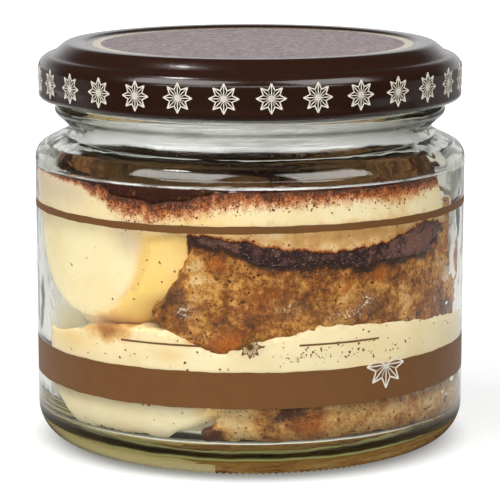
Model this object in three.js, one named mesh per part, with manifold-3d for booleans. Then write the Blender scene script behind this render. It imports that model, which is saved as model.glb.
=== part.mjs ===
// A squat glass jar of layered tiramisu, closed by a pressed metal twist-off lid.
// Millimetres, +Z up. The origin is the middle of the jar's foot, and the jar's front is -Y.
// Angles round the jar are in degrees from the front, positive towards +X.
import * as THREE from 'three';
import { mergeVertices } from 'three/addons/utils/BufferGeometryUtils.js';
import Module from 'manifold-3d';

const wasm = await Module();
wasm.setup();

// Driving dimensions of the jar
const BODY_RADIUS = 37;
const BODY_DRAFT = 0.15; // how much narrower the wall is at the heel
const BODY_TOP = 48.9; // where the straight wall turns into the shoulder
const WALL = 2.5;
const FLOOR_TOP = 5.3;
const FLOOR_CORNER = 4.5;
const HEEL_REACH = 5.55; // the heel's rounding, inwards and upwards
const HEEL_HEIGHT = 6.4;
const FOOT_EDGE = 0.5; // upright edge between the foot and the heel
const FOOT_BEVEL = 0.2;
const PUSH_UP = 1.3; // hollow under the foot
const PUSH_UP_SLOPE = 3; // width of the slope from the hollow to the foot
const FOOT_WIDTH = 1.6; // flat ring that the jar stands on
const SHOULDER_RADIUS = 2.95;
const SHOULDER_TURN = 63; // degrees the shoulder bends in before it runs up to the neck
const NECK_RADIUS = 31.2;
const NECK_FILLET = 1.45;
const BEAD_RADIUS = 33.54;
const BEAD_HEIGHT = 57.1;
const BEAD_ROUNDING = 0.95;
const BEAD_START = -47; // degrees at which the bead leaves the neck
const BEAD_LEDGE = 0.3;
const FINISH_RADIUS = 31.8;
const RIM_HEIGHT = 67.5;

// Driving dimensions of the lid
const LID_RADIUS = 36.3;
const LID_TOP = 68.55;
const LID_FOOT = 59.1;
const LID_SHEET = 0.5;
const LID_PANEL_RADIUS = 28;
const LID_PANEL_DROP = 0.4;
const LID_RING_RADIUS = 31.4; // outer edge of the raised ring's flat top
const LID_SHOULDER_RADIUS = 1.85;
const LID_SHOULDER_TOP = 66.5;
const LID_RING_FALL = 2.3; // how far out the ring's outer slope reaches
const LID_BEND = 0.12; // softening of the ring's edges
const HEM_RADIUS = 0.88; // rolled hem at the foot of the skirt
const HEM_CURL = 0.4; // how far above the hem the sheet leaves the skirt

// Driving dimensions of the filling
const GAP = 0.3; // clearance between pieces that touch
const FILL_RADIUS = BODY_RADIUS - WALL - GAP;
const FILL_FOOT = FLOOR_TOP + GAP;
const LOWER_SPONGE_TOP = 15.6;
const LOWER_SPONGE_END = -4.5; // x where the lower sponge stops and cream begins
const UPPER_SPONGE_END = -9.4; // x where the upper sponge stops and cream begins
const LOWER_CREAM_MIDDLE = 23.5; // tops of the layers at the jar's axis
const UPPER_SPONGE_MIDDLE = 35.8;
const INNER_COCOA_MIDDLE = 38.2;
const UPPER_CREAM_MIDDLE = 47.2;
const TOP_COCOA_MIDDLE = 49.6;
const CRUMB_RELIEF = 0.55; // depth of the pits in the sponge
const CREAM_RELIEF = 0.12;
const COCOA_RELIEF = 0.35;
const COCOA_HEAP = 0.7; // height of the drifts in the cocoa on top
const WALL_SHARES = [0.02, 0.35, 0.68, 0.98]; // heights of the points on a layer's side
const FLAT_SHARE = 0.6; // reach of the ring of points on a hidden surface
const DRIFT_SHARES = [0.28, 0.55, 0.82]; // reaches of the rings of points on the cocoa
const DOLLOP_SWELL = 0.025; // how far a dollop is from a true oval
const TEAR_DEPTH = 1.1; // unevenness of a torn sponge's edge

const SEGMENTS = 48; // sides of every turned piece, alike so that faces stay parallel
const DEGREE = Math.PI / 180;
const TURN = 360;

// ---- Tools shared by the pieces

function point(radius, height) {
  return new THREE.Vector2(radius, height);
}

// Points on a round stretch of an outline, from one angle to the other. An oval stretch also
// gives how far it rises.
function arc(centreRadius, centreHeight, reach, from, to, steps, rise = reach) {
  const points = [];
  for (let step = 0; step <= steps; step += 1) {
    const angle = (from + ((to - from) * step) / steps) * DEGREE;
    points.push(point(centreRadius + reach * Math.cos(angle), centreHeight + rise * Math.sin(angle)));
  }
  return points;
}

function lathe(outline) {
  return new THREE.LatheGeometry(outline, SEGMENTS).rotateX(90 * DEGREE);
}

// A solid whose outline changes as it goes round. outlineAt gives the same number of points at
// every angle, from the axis below, out and up, and back to the axis above.
function turned(outlineAt, segments = SEGMENTS) {
  const outlines = [];
  for (let side = 0; side < segments; side += 1) outlines.push(outlineAt((side * TURN) / segments));
  const rows = outlines[0].length - 2;
  const positions = [0, 0, outlines[0][0].y];
  outlines.forEach((outline, side) => {
    const angle = ((side * TURN) / segments) * DEGREE;
    for (const { x: radius, y: height } of outline.slice(1, -1)) {
      positions.push(radius * Math.sin(angle), -radius * Math.cos(angle), height);
    }
  });
  positions.push(0, 0, outlines[0].at(-1).y);
  const top = positions.length / 3 - 1;
  const faces = [];
  for (let side = 0; side < segments; side += 1) {
    const here = 1 + side * rows;
    const next = 1 + ((side + 1) % segments) * rows;
    faces.push(0, next, here);
    for (let row = 0; row < rows - 1; row += 1) {
      faces.push(here + row, next + row, here + row + 1);
      faces.push(next + row, next + row + 1, here + row + 1);
    }
    faces.push(here + rows - 1, next + rows - 1, top);
  }
  const geometry = new THREE.BufferGeometry();
  geometry.setAttribute('position', new THREE.Float32BufferAttribute(positions, 3));
  geometry.setIndex(faces);
  return geometry;
}

function toSolid(geometry) {
  const bare = geometry.clone();
  bare.deleteAttribute('normal');
  bare.deleteAttribute('uv');
  const merged = mergeVertices(bare, 1e-4);
  return new wasm.Manifold(new wasm.Mesh({
    numProp: 3,
    vertProperties: Float32Array.from(merged.attributes.position.array),
    triVerts: Uint32Array.from(merged.index.array),
  }));
}

function toGeometry(solid) {
  const mesh = solid.getMesh();
  const geometry = new THREE.BufferGeometry();
  geometry.setAttribute('position', new THREE.BufferAttribute(mesh.vertProperties, 3));
  geometry.setIndex(new THREE.BufferAttribute(mesh.triVerts, 1));
  return geometry;
}

function named(name, geometry, color, roughness, extra = {}) {
  geometry.computeVertexNormals();
  const material = new THREE.MeshStandardMaterial({ color, roughness, metalness: 0, ...extra });
  const mesh = new THREE.Mesh(geometry, material);
  mesh.name = name;
  return mesh;
}

// A value that drifts smoothly from station to station round the jar: [[degrees, value], ...].
function roundTheJar(stations) {
  return (degrees) => {
    const angle = THREE.MathUtils.euclideanModulo(degrees - stations[0][0], TURN) + stations[0][0];
    const after = stations.findIndex(([at]) => at > angle);
    const [toAngle, toValue] = after < 0 ? [stations[0][0] + TURN, stations[0][1]] : stations[after];
    const [fromAngle, fromValue] = stations.at(after < 0 ? -1 : after - 1);
    const share = THREE.MathUtils.smoothstep(angle, fromAngle, toAngle);
    return fromValue + (toValue - fromValue) * share;
  };
}

// Repeatable unevenness between -1 and 1 for a spot on a piece.
function unevenness(seed) {
  return (degrees, row) => {
    const wave = Math.sin(seed * 12.9898 + Math.round(degrees * 10) * 0.78233 + row * 37.719);
    const scatter = wave * 43758.5453;
    return 2 * (scatter - Math.floor(scatter)) - 1;
  };
}

// ---- The jar: moulded glass with an oval heel, a low shoulder and a short neck under the lid

// Where the shoulder's slope meets the hollow rounding at the foot of the neck.
function neckFillet(shoulderX) {
  const turn = SHOULDER_TURN * DEGREE;
  const bendX = shoulderX + SHOULDER_RADIUS * Math.cos(turn);
  const bendZ = BODY_TOP + SHOULDER_RADIUS * Math.sin(turn);
  const x = NECK_RADIUS + NECK_FILLET;
  const run = (bendX - x + NECK_FILLET * Math.cos(turn)) / Math.sin(turn);
  return { x, z: bendZ + run * Math.cos(turn) + NECK_FILLET * Math.sin(turn) };
}

function jar() {
  const shoulderX = BODY_RADIUS - SHOULDER_RADIUS;
  const fillet = neckFillet(shoulderX);
  const heelX = BODY_RADIUS - BODY_DRAFT - HEEL_REACH;
  const footX = heelX - FOOT_WIDTH;
  const beadX = BEAD_RADIUS - BEAD_ROUNDING;
  const mouthRadius = NECK_RADIUS - WALL;
  const lip = (FINISH_RADIUS - mouthRadius) / 2;
  const cornerX = BODY_RADIUS - WALL - FLOOR_CORNER;
  return lathe([
    point(0, PUSH_UP),
    point(footX - PUSH_UP_SLOPE, PUSH_UP),
    point(footX - PUSH_UP_SLOPE / 3, PUSH_UP / 2),
    point(footX, 0),
    point(heelX - FOOT_BEVEL, 0),
    ...arc(heelX, HEEL_HEIGHT, HEEL_REACH, -90, 0, 6, HEEL_HEIGHT - FOOT_EDGE),
    ...arc(shoulderX, BODY_TOP, SHOULDER_RADIUS, 0, SHOULDER_TURN, 4),
    ...arc(fillet.x, fillet.z, NECK_FILLET, 180 + SHOULDER_TURN, 180, 2),
    ...arc(beadX, BEAD_HEIGHT, BEAD_ROUNDING, BEAD_START, 90, 4),
    point(FINISH_RADIUS, BEAD_HEIGHT + BEAD_ROUNDING + BEAD_LEDGE),
    ...arc(mouthRadius + lip, RIM_HEIGHT - lip, lip, 0, 180, 4),
    ...arc(fillet.x, fillet.z, NECK_FILLET + WALL, 180, 180 + SHOULDER_TURN, 2),
    ...arc(shoulderX, BODY_TOP, SHOULDER_RADIUS - WALL, SHOULDER_TURN, 0, 1),
    ...arc(cornerX, FLOOR_TOP + FLOOR_CORNER, FLOOR_CORNER, 0, -90, 3),
    point(0, FLOOR_TOP),
  ]);
}

// ---- The lid: one piece of sheet with a sunk panel, a raised ring over the rim and a hemmed skirt

function lid() {
  const panelTop = LID_TOP - LID_PANEL_DROP;
  const shoulderX = LID_RADIUS - LID_SHOULDER_RADIUS;
  const shoulderZ = LID_SHOULDER_TOP - LID_SHOULDER_RADIUS;
  const hemX = LID_RADIUS - HEM_RADIUS;
  const hemZ = LID_FOOT + HEM_RADIUS;
  return lathe([
    point(0, panelTop - LID_SHEET),
    point(LID_PANEL_RADIUS + LID_SHEET, panelTop - LID_SHEET),
    point(LID_PANEL_RADIUS + 2 * LID_SHEET, LID_TOP - LID_SHEET),
    point(LID_RING_RADIUS - LID_SHEET, LID_TOP - LID_SHEET),
    point(LID_RING_RADIUS + LID_RING_FALL - 0.8 * LID_SHEET, LID_SHOULDER_TOP - 0.4 * LID_SHEET),
    ...arc(shoulderX, shoulderZ, LID_SHOULDER_RADIUS - LID_SHEET, 90, 0, 3),
    point(LID_RADIUS - LID_SHEET, hemZ + HEM_RADIUS + HEM_CURL),
    ...arc(hemX, hemZ, HEM_RADIUS, 120, 360, 5),
    ...arc(shoulderX, shoulderZ, LID_SHOULDER_RADIUS, 0, 80, 3),
    point(LID_RING_RADIUS + LID_RING_FALL, LID_SHOULDER_TOP + 2 * LID_BEND),
    point(LID_RING_RADIUS + 0.4 * LID_RING_FALL, LID_TOP - 4.5 * LID_BEND),
    point(LID_RING_RADIUS + 2.5 * LID_BEND, LID_TOP - LID_BEND),
    point(LID_RING_RADIUS - 3 * LID_BEND, LID_TOP),
    point(LID_PANEL_RADIUS + 10 * LID_BEND, LID_TOP),
    point(LID_PANEL_RADIUS + 4 * LID_BEND, LID_TOP - LID_BEND),
    point(LID_PANEL_RADIUS, panelTop),
    point(0, panelTop),
  ]);
}

// ---- The filling: two levels of sponge and piped cream, with cocoa on the sponge and on top

// Heights where the layers meet the glass, followed round the jar.
const lowerCreamTop = roundTheJar([
  [-95, 22.4], [-50, 21.8], [-22, 24.6], [-8, 21.5], [7, 24.3], [27, 25.8], [62, 24.2], [120, 23.4],
  [180, 24.8], [225, 23.2],
]);
const upperSpongeTop = roundTheJar([
  [-60, 38.8], [-10, 38.9], [2, 35.9], [18, 35.3], [29, 34.4], [50, 34.7], [68, 36.6], [120, 35.2],
  [165, 36.8], [215, 35.6],
]);
const innerCocoaTop = roundTheJar([
  [-60, 40.2], [-12, 40.1], [4, 38.7], [21, 37.2], [33, 38], [50, 39], [80, 38.4], [120, 37.8],
  [165, 39.4], [215, 38.6],
]);
const upperCreamTop = roundTheJar([
  [-75, 47.8], [-52, 47.2], [-31, 45.1], [-23, 46.4], [-12, 45.7], [0, 46.6], [20, 47.4], [42, 47.8],
  [75, 47.4], [130, 46.2], [190, 47.2], [240, 46.4],
]);

// How far each level reaches towards the glass: pressed against it, or standing back with an air gap.
const lowerReach = roundTheJar([[-82, -1.2], [-62, 0], [72, 0], [95, -0.8], [120, 0], [250, 0]]);
const upperReach = roundTheJar([
  [-85, -1.6], [-68, 0], [55, 0], [72, -1.8], [98, -2.4], [125, 0], [215, 0], [235, -0.9],
]);
const cocoaReach = roundTheJar([[-85, -6.5], [-48, 0], [52, 0], [78, -3.5], [120, 0], [230, 0]]);

// The rounding at the foot of the filling, up to the given radius.
function footCorner(radius, foot) {
  return arc(radius - FLOOR_CORNER, foot + FLOOR_CORNER, FLOOR_CORNER, -90, -30, 2);
}

// A layer between two surfaces, given at the glass and levelling out towards its middle height.
// The drift, where it has one, is the height of its top at a spot seen from above.
function layer({ foot, footMiddle, head, headMiddle, reach, relief, seed, onFloor = false, drift = null }) {
  const spot = unevenness(seed);
  const shares = drift ? DRIFT_SHARES : [FLAT_SHARE];
  const settle = (middle, edge, share) => middle + (edge - middle) * share * share;
  return turned((degrees) => {
    const high = head(degrees);
    const radius = FILL_RADIUS + reach(degrees);
    const low = foot(degrees) + (onFloor ? FLOOR_CORNER : 0);
    const below = onFloor ? footCorner(radius, FILL_FOOT) : [point(radius - relief - GAP, low)];
    const wall = WALL_SHARES.map((share, row) => {
      const pit = relief * Math.max(0, spot(degrees, row));
      return point(radius - pit, low + (high - low) * share);
    });
    const top = shares.map((share) => {
      const x = share * radius * Math.sin(degrees * DEGREE);
      const y = -share * radius * Math.cos(degrees * DEGREE);
      return point(share * radius, settle(headMiddle, high, share) + (drift ? drift(x, y) : 0));
    });
    return [
      point(0, footMiddle),
      point(FLAT_SHARE * radius, settle(footMiddle, foot(degrees), FLAT_SHARE)),
      ...below,
      ...wall,
      point(radius - relief - GAP, high),
      ...top.reverse(),
      point(0, headMiddle),
    ];
  });
}

// A dollop piped from a bag: round below and at its ends, flat above where the next layer joins it.
function dollop({ x, y, halfWidth, halfLength, turn, foot, head, rounding }, clearance = 0) {
  const sides = 32;
  const steps = 6;
  const geometry = turned((degrees) => {
    const swell = 1 + DOLLOP_SWELL * Math.sin(3 * degrees * DEGREE + x);
    const rounded = [];
    for (let step = 1; step <= steps; step += 1) {
      const angle = (90 * step * DEGREE) / steps;
      rounded.push(point(swell * Math.sin(angle), foot - clearance + rounding * (1 - Math.cos(angle))));
    }
    return [point(0, foot - clearance), ...rounded, point(swell, head), point(0, head)];
  }, sides);
  geometry.scale(halfWidth + clearance, halfLength + clearance, 1);
  geometry.rotateZ(turn * DEGREE);
  geometry.translate(x, y, 0);
  return toSolid(geometry);
}

const LOWER_DOLLOPS = [
  { x: -18, y: -12, halfWidth: 14.5, halfLength: 24, turn: 38, foot: FILL_FOOT, head: 17, rounding: 9 },
  { x: -19, y: 16, halfWidth: 13, halfLength: 20, turn: -36, foot: FILL_FOOT, head: 17, rounding: 8 },
];
const UPPER_DOLLOPS = [
  { x: -21.5, y: -10.5, halfWidth: 14, halfLength: 22.5, turn: 33, foot: 22.3, head: 43.5, rounding: 14.5 },
  { x: -21, y: 17, halfWidth: 12.5, halfLength: 18, turn: -34, foot: 22.8, head: 43.5, rounding: 12 },
];

// The room inside the glass, with the same sides as the layers.
function room(foot, head, reach) {
  return toSolid(turned((degrees) => {
    const radius = FILL_RADIUS + reach(degrees);
    return [point(0, foot), ...footCorner(radius, foot), point(radius, foot + FLOOR_CORNER),
      point(radius, head), point(0, head)];
  }));
}

function piped(dollops, reach) {
  const [first, ...others] = dollops;
  const joined = others.reduce((sum, next) => sum.add(dollop(next)), dollop(first));
  return joined.intersect(room(first.foot, first.head, reach));
}

// Takes away what the dollops fill, with the clearance of touching pieces.
function besideDollops(solid, dollops) {
  return dollops.reduce((rest, next) => rest.subtract(dollop(next, GAP)), solid);
}

// The part of a solid to the right of a torn edge at the given x.
function rightOf(solid, edgeX) {
  const tear = new THREE.Shape();
  const far = 2 * BODY_RADIUS;
  tear.moveTo(far, -far);
  tear.lineTo(far, far);
  const steps = 16;
  for (let step = 0; step <= steps; step += 1) {
    const y = far - (2 * far * step) / steps;
    tear.lineTo(edgeX + TEAR_DEPTH * (Math.sin(step * 2.4) + 0.5 * Math.sin(step * 5.3)), y);
  }
  const geometry = new THREE.ExtrudeGeometry(tear, { depth: 2 * LID_TOP, bevelEnabled: false });
  return solid.intersect(toSolid(geometry.translate(0, 0, -LID_TOP)));
}

function raised(surface, lift) {
  return (degrees) => surface(degrees) + lift;
}

function lowerSponge() {
  const whole = toSolid(layer({
    foot: () => FILL_FOOT,
    footMiddle: FILL_FOOT,
    head: () => LOWER_SPONGE_TOP,
    headMiddle: LOWER_SPONGE_TOP,
    reach: lowerReach,
    relief: CRUMB_RELIEF,
    seed: 3,
    onFloor: true,
  }));
  return besideDollops(rightOf(whole, LOWER_SPONGE_END), LOWER_DOLLOPS);
}

function lowerCream() {
  const foot = LOWER_SPONGE_TOP + GAP;
  const over = toSolid(layer({
    foot: () => foot,
    footMiddle: foot,
    head: lowerCreamTop,
    headMiddle: LOWER_CREAM_MIDDLE,
    reach: lowerReach,
    relief: CREAM_RELIEF,
    seed: 5,
  }));
  return besideDollops(over.add(piped(LOWER_DOLLOPS, lowerReach)), UPPER_DOLLOPS);
}

function upperSponge() {
  const whole = toSolid(layer({
    foot: raised(lowerCreamTop, GAP),
    footMiddle: LOWER_CREAM_MIDDLE + GAP,
    head: upperSpongeTop,
    headMiddle: UPPER_SPONGE_MIDDLE,
    reach: upperReach,
    relief: CRUMB_RELIEF,
    seed: 11,
  }));
  return besideDollops(rightOf(whole, UPPER_SPONGE_END), UPPER_DOLLOPS);
}

function innerCocoa() {
  const whole = toSolid(layer({
    foot: raised(upperSpongeTop, GAP),
    footMiddle: UPPER_SPONGE_MIDDLE + GAP,
    head: innerCocoaTop,
    headMiddle: INNER_COCOA_MIDDLE,
    reach: upperReach,
    relief: COCOA_RELIEF,
    seed: 17,
  }));
  return besideDollops(rightOf(whole, UPPER_SPONGE_END), UPPER_DOLLOPS);
}

function upperCream() {
  const over = toSolid(layer({
    foot: raised(innerCocoaTop, GAP),
    footMiddle: INNER_COCOA_MIDDLE + GAP,
    head: upperCreamTop,
    headMiddle: UPPER_CREAM_MIDDLE,
    reach: upperReach,
    relief: CREAM_RELIEF,
    seed: 19,
  }));
  return over.add(piped(UPPER_DOLLOPS, upperReach));
}

function topCocoa() {
  const heaped = roundTheJar([
    [-60, 48.3], [-20, 48.6], [20, 48.6], [58, 48.7], [110, 48.1], [150, 48.7], [200, 48.3], [250, 48.7],
  ]);
  return toSolid(layer({
    foot: raised(upperCreamTop, GAP),
    footMiddle: UPPER_CREAM_MIDDLE + GAP,
    head: heaped,
    headMiddle: TOP_COCOA_MIDDLE,
    reach: cocoaReach,
    relief: COCOA_RELIEF,
    seed: 23,
    drift: (x, y) => COCOA_HEAP * Math.sin(x / 4.6 + 0.8) * Math.cos(y / 5.7 + x / 13),
  }));
}

const tiramisu = new THREE.Group();
tiramisu.add(
  named('jar', jar(), 0xe9eee6, 0.05, { transparent: true, opacity: 0.3 }),
  named('lid', lid(), 0x321b0e, 0.25, { metalness: 0.2 }),
  named('lower_sponge', toGeometry(lowerSponge()), 0xba8a55, 0.95),
  named('lower_cream', toGeometry(lowerCream()), 0xf2e2b8, 0.6),
  named('upper_sponge', toGeometry(upperSponge()), 0xb57f49, 0.95),
  named('inner_cocoa', toGeometry(innerCocoa()), 0x46302c, 0.9),
  named('upper_cream', toGeometry(upperCream()), 0xf1e0b4, 0.6),
  named('top_cocoa', toGeometry(topCocoa()), 0x35190b, 0.9),
);

export default tiramisu;
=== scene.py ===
import math

import bpy
import numpy as np
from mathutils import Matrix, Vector


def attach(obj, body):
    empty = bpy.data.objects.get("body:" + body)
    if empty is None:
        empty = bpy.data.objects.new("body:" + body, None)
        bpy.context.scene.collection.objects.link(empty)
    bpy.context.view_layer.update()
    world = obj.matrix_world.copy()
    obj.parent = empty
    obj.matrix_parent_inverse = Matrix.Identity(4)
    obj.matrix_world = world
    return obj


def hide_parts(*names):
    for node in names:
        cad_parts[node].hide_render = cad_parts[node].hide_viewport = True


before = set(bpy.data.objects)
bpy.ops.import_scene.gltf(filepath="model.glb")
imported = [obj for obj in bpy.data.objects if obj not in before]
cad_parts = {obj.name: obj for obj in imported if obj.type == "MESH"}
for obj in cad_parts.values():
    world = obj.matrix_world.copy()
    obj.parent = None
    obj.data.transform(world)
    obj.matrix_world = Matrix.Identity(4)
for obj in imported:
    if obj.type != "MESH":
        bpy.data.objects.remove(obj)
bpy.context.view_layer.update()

# ---- The jar
# A squat jar of clear soda-lime glass, pressed and blown in a mould: a thick hollow base with a
# knurled ring to stand on, a low shoulder, a short neck and a bead under the lid. Its inner
# face is never quite true, so what is behind it looks a little wavy.

MM = 0.001
BODY_RADIUS = 37
BODY_DRAFT = 0.15
BODY_TOP = 48.9
WALL = 2.5
BORE = BODY_RADIUS - WALL
FLOOR_TOP = 5.3
FLOOR_CORNER = 4.5
HEEL_REACH = 5.55
HEEL_HEIGHT = 6.4
FOOT_EDGE = 0.5
PUSH_UP = 1.3
FOOT_WIDTH = 1.6
SHOULDER_RADIUS = 2.95
SHOULDER_TURN = 63
NECK_RADIUS = 31.2
NECK_FILLET = 1.45
BEAD_RADIUS = 33.54
BEAD_HEIGHT = 57.1
BEAD_ROUNDING = 0.95
FINISH_RADIUS = 31.8
RIM_HEIGHT = 67.5
THREAD_HEIGHT = 62.6
THREAD_DEPTH = 0.9
KNURLS = 180
KNURL_DEPTH = 0.3
KNURL_RING = 31.2
GLASS_WAVE = 0.05


def linear(red, green, blue):
    """A colour for a socket, from the values of 0 to 255 that a screen shows."""
    shares = [value / 255 for value in (red, green, blue)]
    return tuple(s / 12.92 if s < 0.04045 else ((s + 0.055) / 1.055) ** 2.4 for s in shares) + (1.0,)


class Nodes:
    """The nodes of a material, of a group or of the surroundings."""

    def __init__(self, tree):
        self.tree = tree

    def put(self, value, socket):
        if isinstance(value, bpy.types.NodeSocket):
            self.tree.links.new(value, socket)
        else:
            socket.default_value = value

    def add(self, kind, **values):
        """A node's outputs. Properties come first, by name, then sockets, as in_NAME or in_NUMBER."""
        made = self.tree.nodes.new("ShaderNode" + kind)
        for key, value in values.items():
            if key.startswith("in_"):
                socket = key[3:].replace("_", " ")
                self.put(value, made.inputs[int(socket) if socket.isdigit() else socket])
            else:
                setattr(made, key, value)
        return made.outputs

    def calc(self, operation, *values):
        sockets = {f"in_{number}": value for number, value in enumerate(values)}
        return self.add("Math", operation=operation, **sockets)[0]

    def weighed(self, value, weight, more):
        return self.calc("MULTIPLY_ADD", value, weight, more)

    def ranged(self, value, low, high, at_high=1, at_low=0, kind="LINEAR"):
        """What goes from at_low to at_high as the value goes from low to high."""
        return self.add("MapRange", interpolation_type=kind, in_Value=value, in_1=low, in_2=high,
                        in_3=at_low, in_4=at_high)[0]

    def mix(self, share, under, over):
        return self.add("Mix", data_type="RGBA", in_0=share, in_6=under, in_7=over)[2]

    def layered(self, colour, *layers):
        """Colours laid one over the other: (value, low, high, how much at high, colour), ..."""
        for value, low, high, most, over in layers:
            colour = self.mix(self.ranged(value, low, high, most), colour, over)
        return colour

    def noise(self, spot, scale, detail=2, rough=0.5):
        return self.add("TexNoise", in_Vector=spot, in_Scale=scale, in_Detail=detail, in_Roughness=rough)[0]

    def stretched(self, spot, *by):
        return self.add("VectorMath", operation="MULTIPLY", in_0=spot, in_1=by)[0]

    def strayed(self, spot, scale, by):
        """A spot moved a little at random."""
        drift = self.add("TexNoise", in_Vector=spot, in_Scale=scale)[1]
        return self.add("VectorMath", operation="MULTIPLY_ADD", in_0=drift, in_1=(by, by, by), in_2=spot)[0]

    def painted(self, name):
        """A value that the mesh carries at each point."""
        return self.add("Attribute", attribute_name=name)["Fac"]

    def bump(self, height, strength, distance):
        return self.add("Bump", in_Strength=strength, in_Distance=distance, in_Height=height)[0]


class Finish(Nodes):
    """A material round one Principled shader."""

    def __init__(self, name, **values):
        self.material = bpy.data.materials.new(name)
        self.material.use_nodes = True
        super().__init__(self.material.node_tree)
        self.set(**values)

    def set(self, **values):
        """The shader's values and links, by the names of its sockets."""
        for name, value in values.items():
            self.put(value, self.tree.nodes["Principled BSDF"].inputs[name.replace("_", " ")])

    def spot(self):
        """The place on the piece, in millimetres."""
        place = self.add("TexCoord")["Object"]
        return self.add("VectorMath", operation="SCALE", in_0=place, in_Scale=1 / MM)[0]


def arc(centre_r, centre_z, reach, start, end, steps, rise=None):
    turn = np.radians(np.linspace(start, end, steps + 1))
    rise = reach if rise is None else rise
    return list(zip(centre_r + reach * np.cos(turn), centre_z + rise * np.sin(turn)))


def on_wall(radius, angle, height):
    """Points by their distance from the axis, their angle from the front and their height."""
    return np.stack(np.broadcast_arrays(radius * np.sin(angle), -radius * np.cos(angle), height), -1)


def around(outline, segments):
    """An outline repeated round the axis: its points, and for each stretch of it the number of its
    first point, here and on the next outline round."""
    radius, height = np.array(outline).T
    angle = np.arange(segments)[:, None] * 2 * math.pi / segments
    here = np.arange(segments)[:, None] * len(radius) + np.arange(len(radius) - 1)
    after = (here + len(radius)) % (segments * len(radius))
    return on_wall(radius, angle, height).reshape(-1, 3), here, after


def turned(outline, segments):
    """Points and faces of an outline turned round the axis, where its two ends lie."""
    points, here, after = around(outline[1:-1], segments)
    quads = np.stack([here, after, after + 1, here + 1], -1).reshape(-1, 4)
    below, above = len(points), len(points) + 1
    fans = [(below, b, a) for a, b in zip(here[:, 0], after[:, 0])]
    fans += [(above, a, b) for a, b in zip(here[:, -1] + 1, after[:, -1] + 1)]
    return np.vstack([points, [[0, 0, outline[0][1]], [0, 0, outline[-1][1]]]]), quads.tolist() + fans


def piece(name, points, faces, finish, slot, replaces=None, flat=False):
    """A finished piece from points in millimetres. It rides on the jar, as everything here does."""
    mesh = bpy.data.meshes.new(name)
    mesh.from_pydata((np.asarray(points) * MM).tolist(), [], faces)
    if not flat:
        mesh.shade_smooth()
    mesh.materials.append(finish.material)
    made = bpy.data.objects.new(name, mesh)
    bpy.context.collection.objects.link(made)
    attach(made, "root")
    if replaces:
        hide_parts(replaces)
    return made


def jar_outline():
    shoulder_x = BODY_RADIUS - SHOULDER_RADIUS
    turn = math.radians(SHOULDER_TURN)
    fillet_x = NECK_RADIUS + NECK_FILLET
    bend_x = shoulder_x + SHOULDER_RADIUS * math.cos(turn)
    bend_z = BODY_TOP + SHOULDER_RADIUS * math.sin(turn)
    run = (bend_x - fillet_x + NECK_FILLET * math.cos(turn)) / math.sin(turn)
    fillet_z = bend_z + run * math.cos(turn) + NECK_FILLET * math.sin(turn)
    heel_x = BODY_RADIUS - BODY_DRAFT - HEEL_REACH
    foot_x = heel_x - FOOT_WIDTH
    bead_x = BEAD_RADIUS - BEAD_ROUNDING
    mouth = NECK_RADIUS - WALL
    lip = (FINISH_RADIUS - mouth) / 2
    corner_x = BORE - FLOOR_CORNER
    return [
        (0, PUSH_UP + 0.5), (8, PUSH_UP + 0.45), (16, PUSH_UP + 0.2), (foot_x - 4, PUSH_UP),
        (foot_x - 2.4, PUSH_UP * 0.9), (foot_x - 1.2, PUSH_UP * 0.5), (foot_x - 0.4, 0.15), (foot_x, 0),
        (foot_x + FOOT_WIDTH / 2, 0), (heel_x - 0.3, 0), (heel_x - 0.12, 0.06), (heel_x - 0.03, 0.22),
        *arc(heel_x, HEEL_HEIGHT, HEEL_REACH, -90, 0, 30, HEEL_HEIGHT - FOOT_EDGE),
        *[(BODY_RADIUS - BODY_DRAFT * (1 - s), HEEL_HEIGHT + s * (BODY_TOP - HEEL_HEIGHT))
          for s in np.linspace(0, 1, 8)[1:-1]],
        *arc(shoulder_x, BODY_TOP, SHOULDER_RADIUS, 0, SHOULDER_TURN, 16),
        *arc(fillet_x, fillet_z, NECK_FILLET, 180 + SHOULDER_TURN, 180, 8),
        *arc(bead_x, BEAD_HEIGHT, BEAD_ROUNDING, -47, 90, 12),
        (FINISH_RADIUS + 0.1, BEAD_HEIGHT + BEAD_ROUNDING + 0.1),
        *[(FINISH_RADIUS, z) for z in (BEAD_HEIGHT + BEAD_ROUNDING + 0.4, 59.6)],
        *[(FINISH_RADIUS + THREAD_DEPTH * math.exp(-((z - THREAD_HEIGHT) / 0.75) ** 2), z)
          for z in np.linspace(60, 65, 9)],
        *arc(mouth + lip, RIM_HEIGHT - lip, lip, 0, 180, 14),
        *[(mouth, z) for z in np.linspace(64, 56, 8)],
        *arc(fillet_x, fillet_z, NECK_FILLET + WALL, 180, 180 + SHOULDER_TURN, 12),
        *[(BORE - 0.9, BODY_TOP + 1.3), (BORE - 0.35, BODY_TOP + 0.6), (BORE - 0.08, BODY_TOP - 0.3)],
        *[(BORE, z) for z in np.linspace(47.5, FLOOR_TOP + FLOOR_CORNER + 1, 20)],
        *arc(corner_x, FLOOR_TOP + FLOOR_CORNER, FLOOR_CORNER, 0, -90, 14),
        *[(r, FLOOR_TOP + 0.25 * (1 - r / corner_x)) for r in (26, 20, 13, 6)],
        (0, FLOOR_TOP + 0.25),
    ]


glass = Finish("clear_glass", Base_Color=(0.985, 0.99, 0.98, 1), Roughness=0, IOR=1.52, Transmission_Weight=1)
glass.set(Normal=glass.bump(glass.noise(glass.spot(), 0.16, 1.5), 0.22, 0.0006))
clear = glass.tree.nodes["Principled BSDF"].outputs[0]
lit_through = glass.add("BsdfTransparent", in_Color=(0.93, 0.95, 0.91, 1))[0]
lamp = glass.add("LightPath")["Is Shadow Ray"]
output = glass.tree.nodes["Material Output"].inputs
glass.put(glass.add("MixShader", in_0=lamp, in_1=clear, in_2=lit_through)[0], output["Surface"])
glass.put(glass.add("VolumeAbsorption", in_Color=(0.80, 0.79, 0.57, 1), in_Density=64)[0], output["Volume"])

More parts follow.
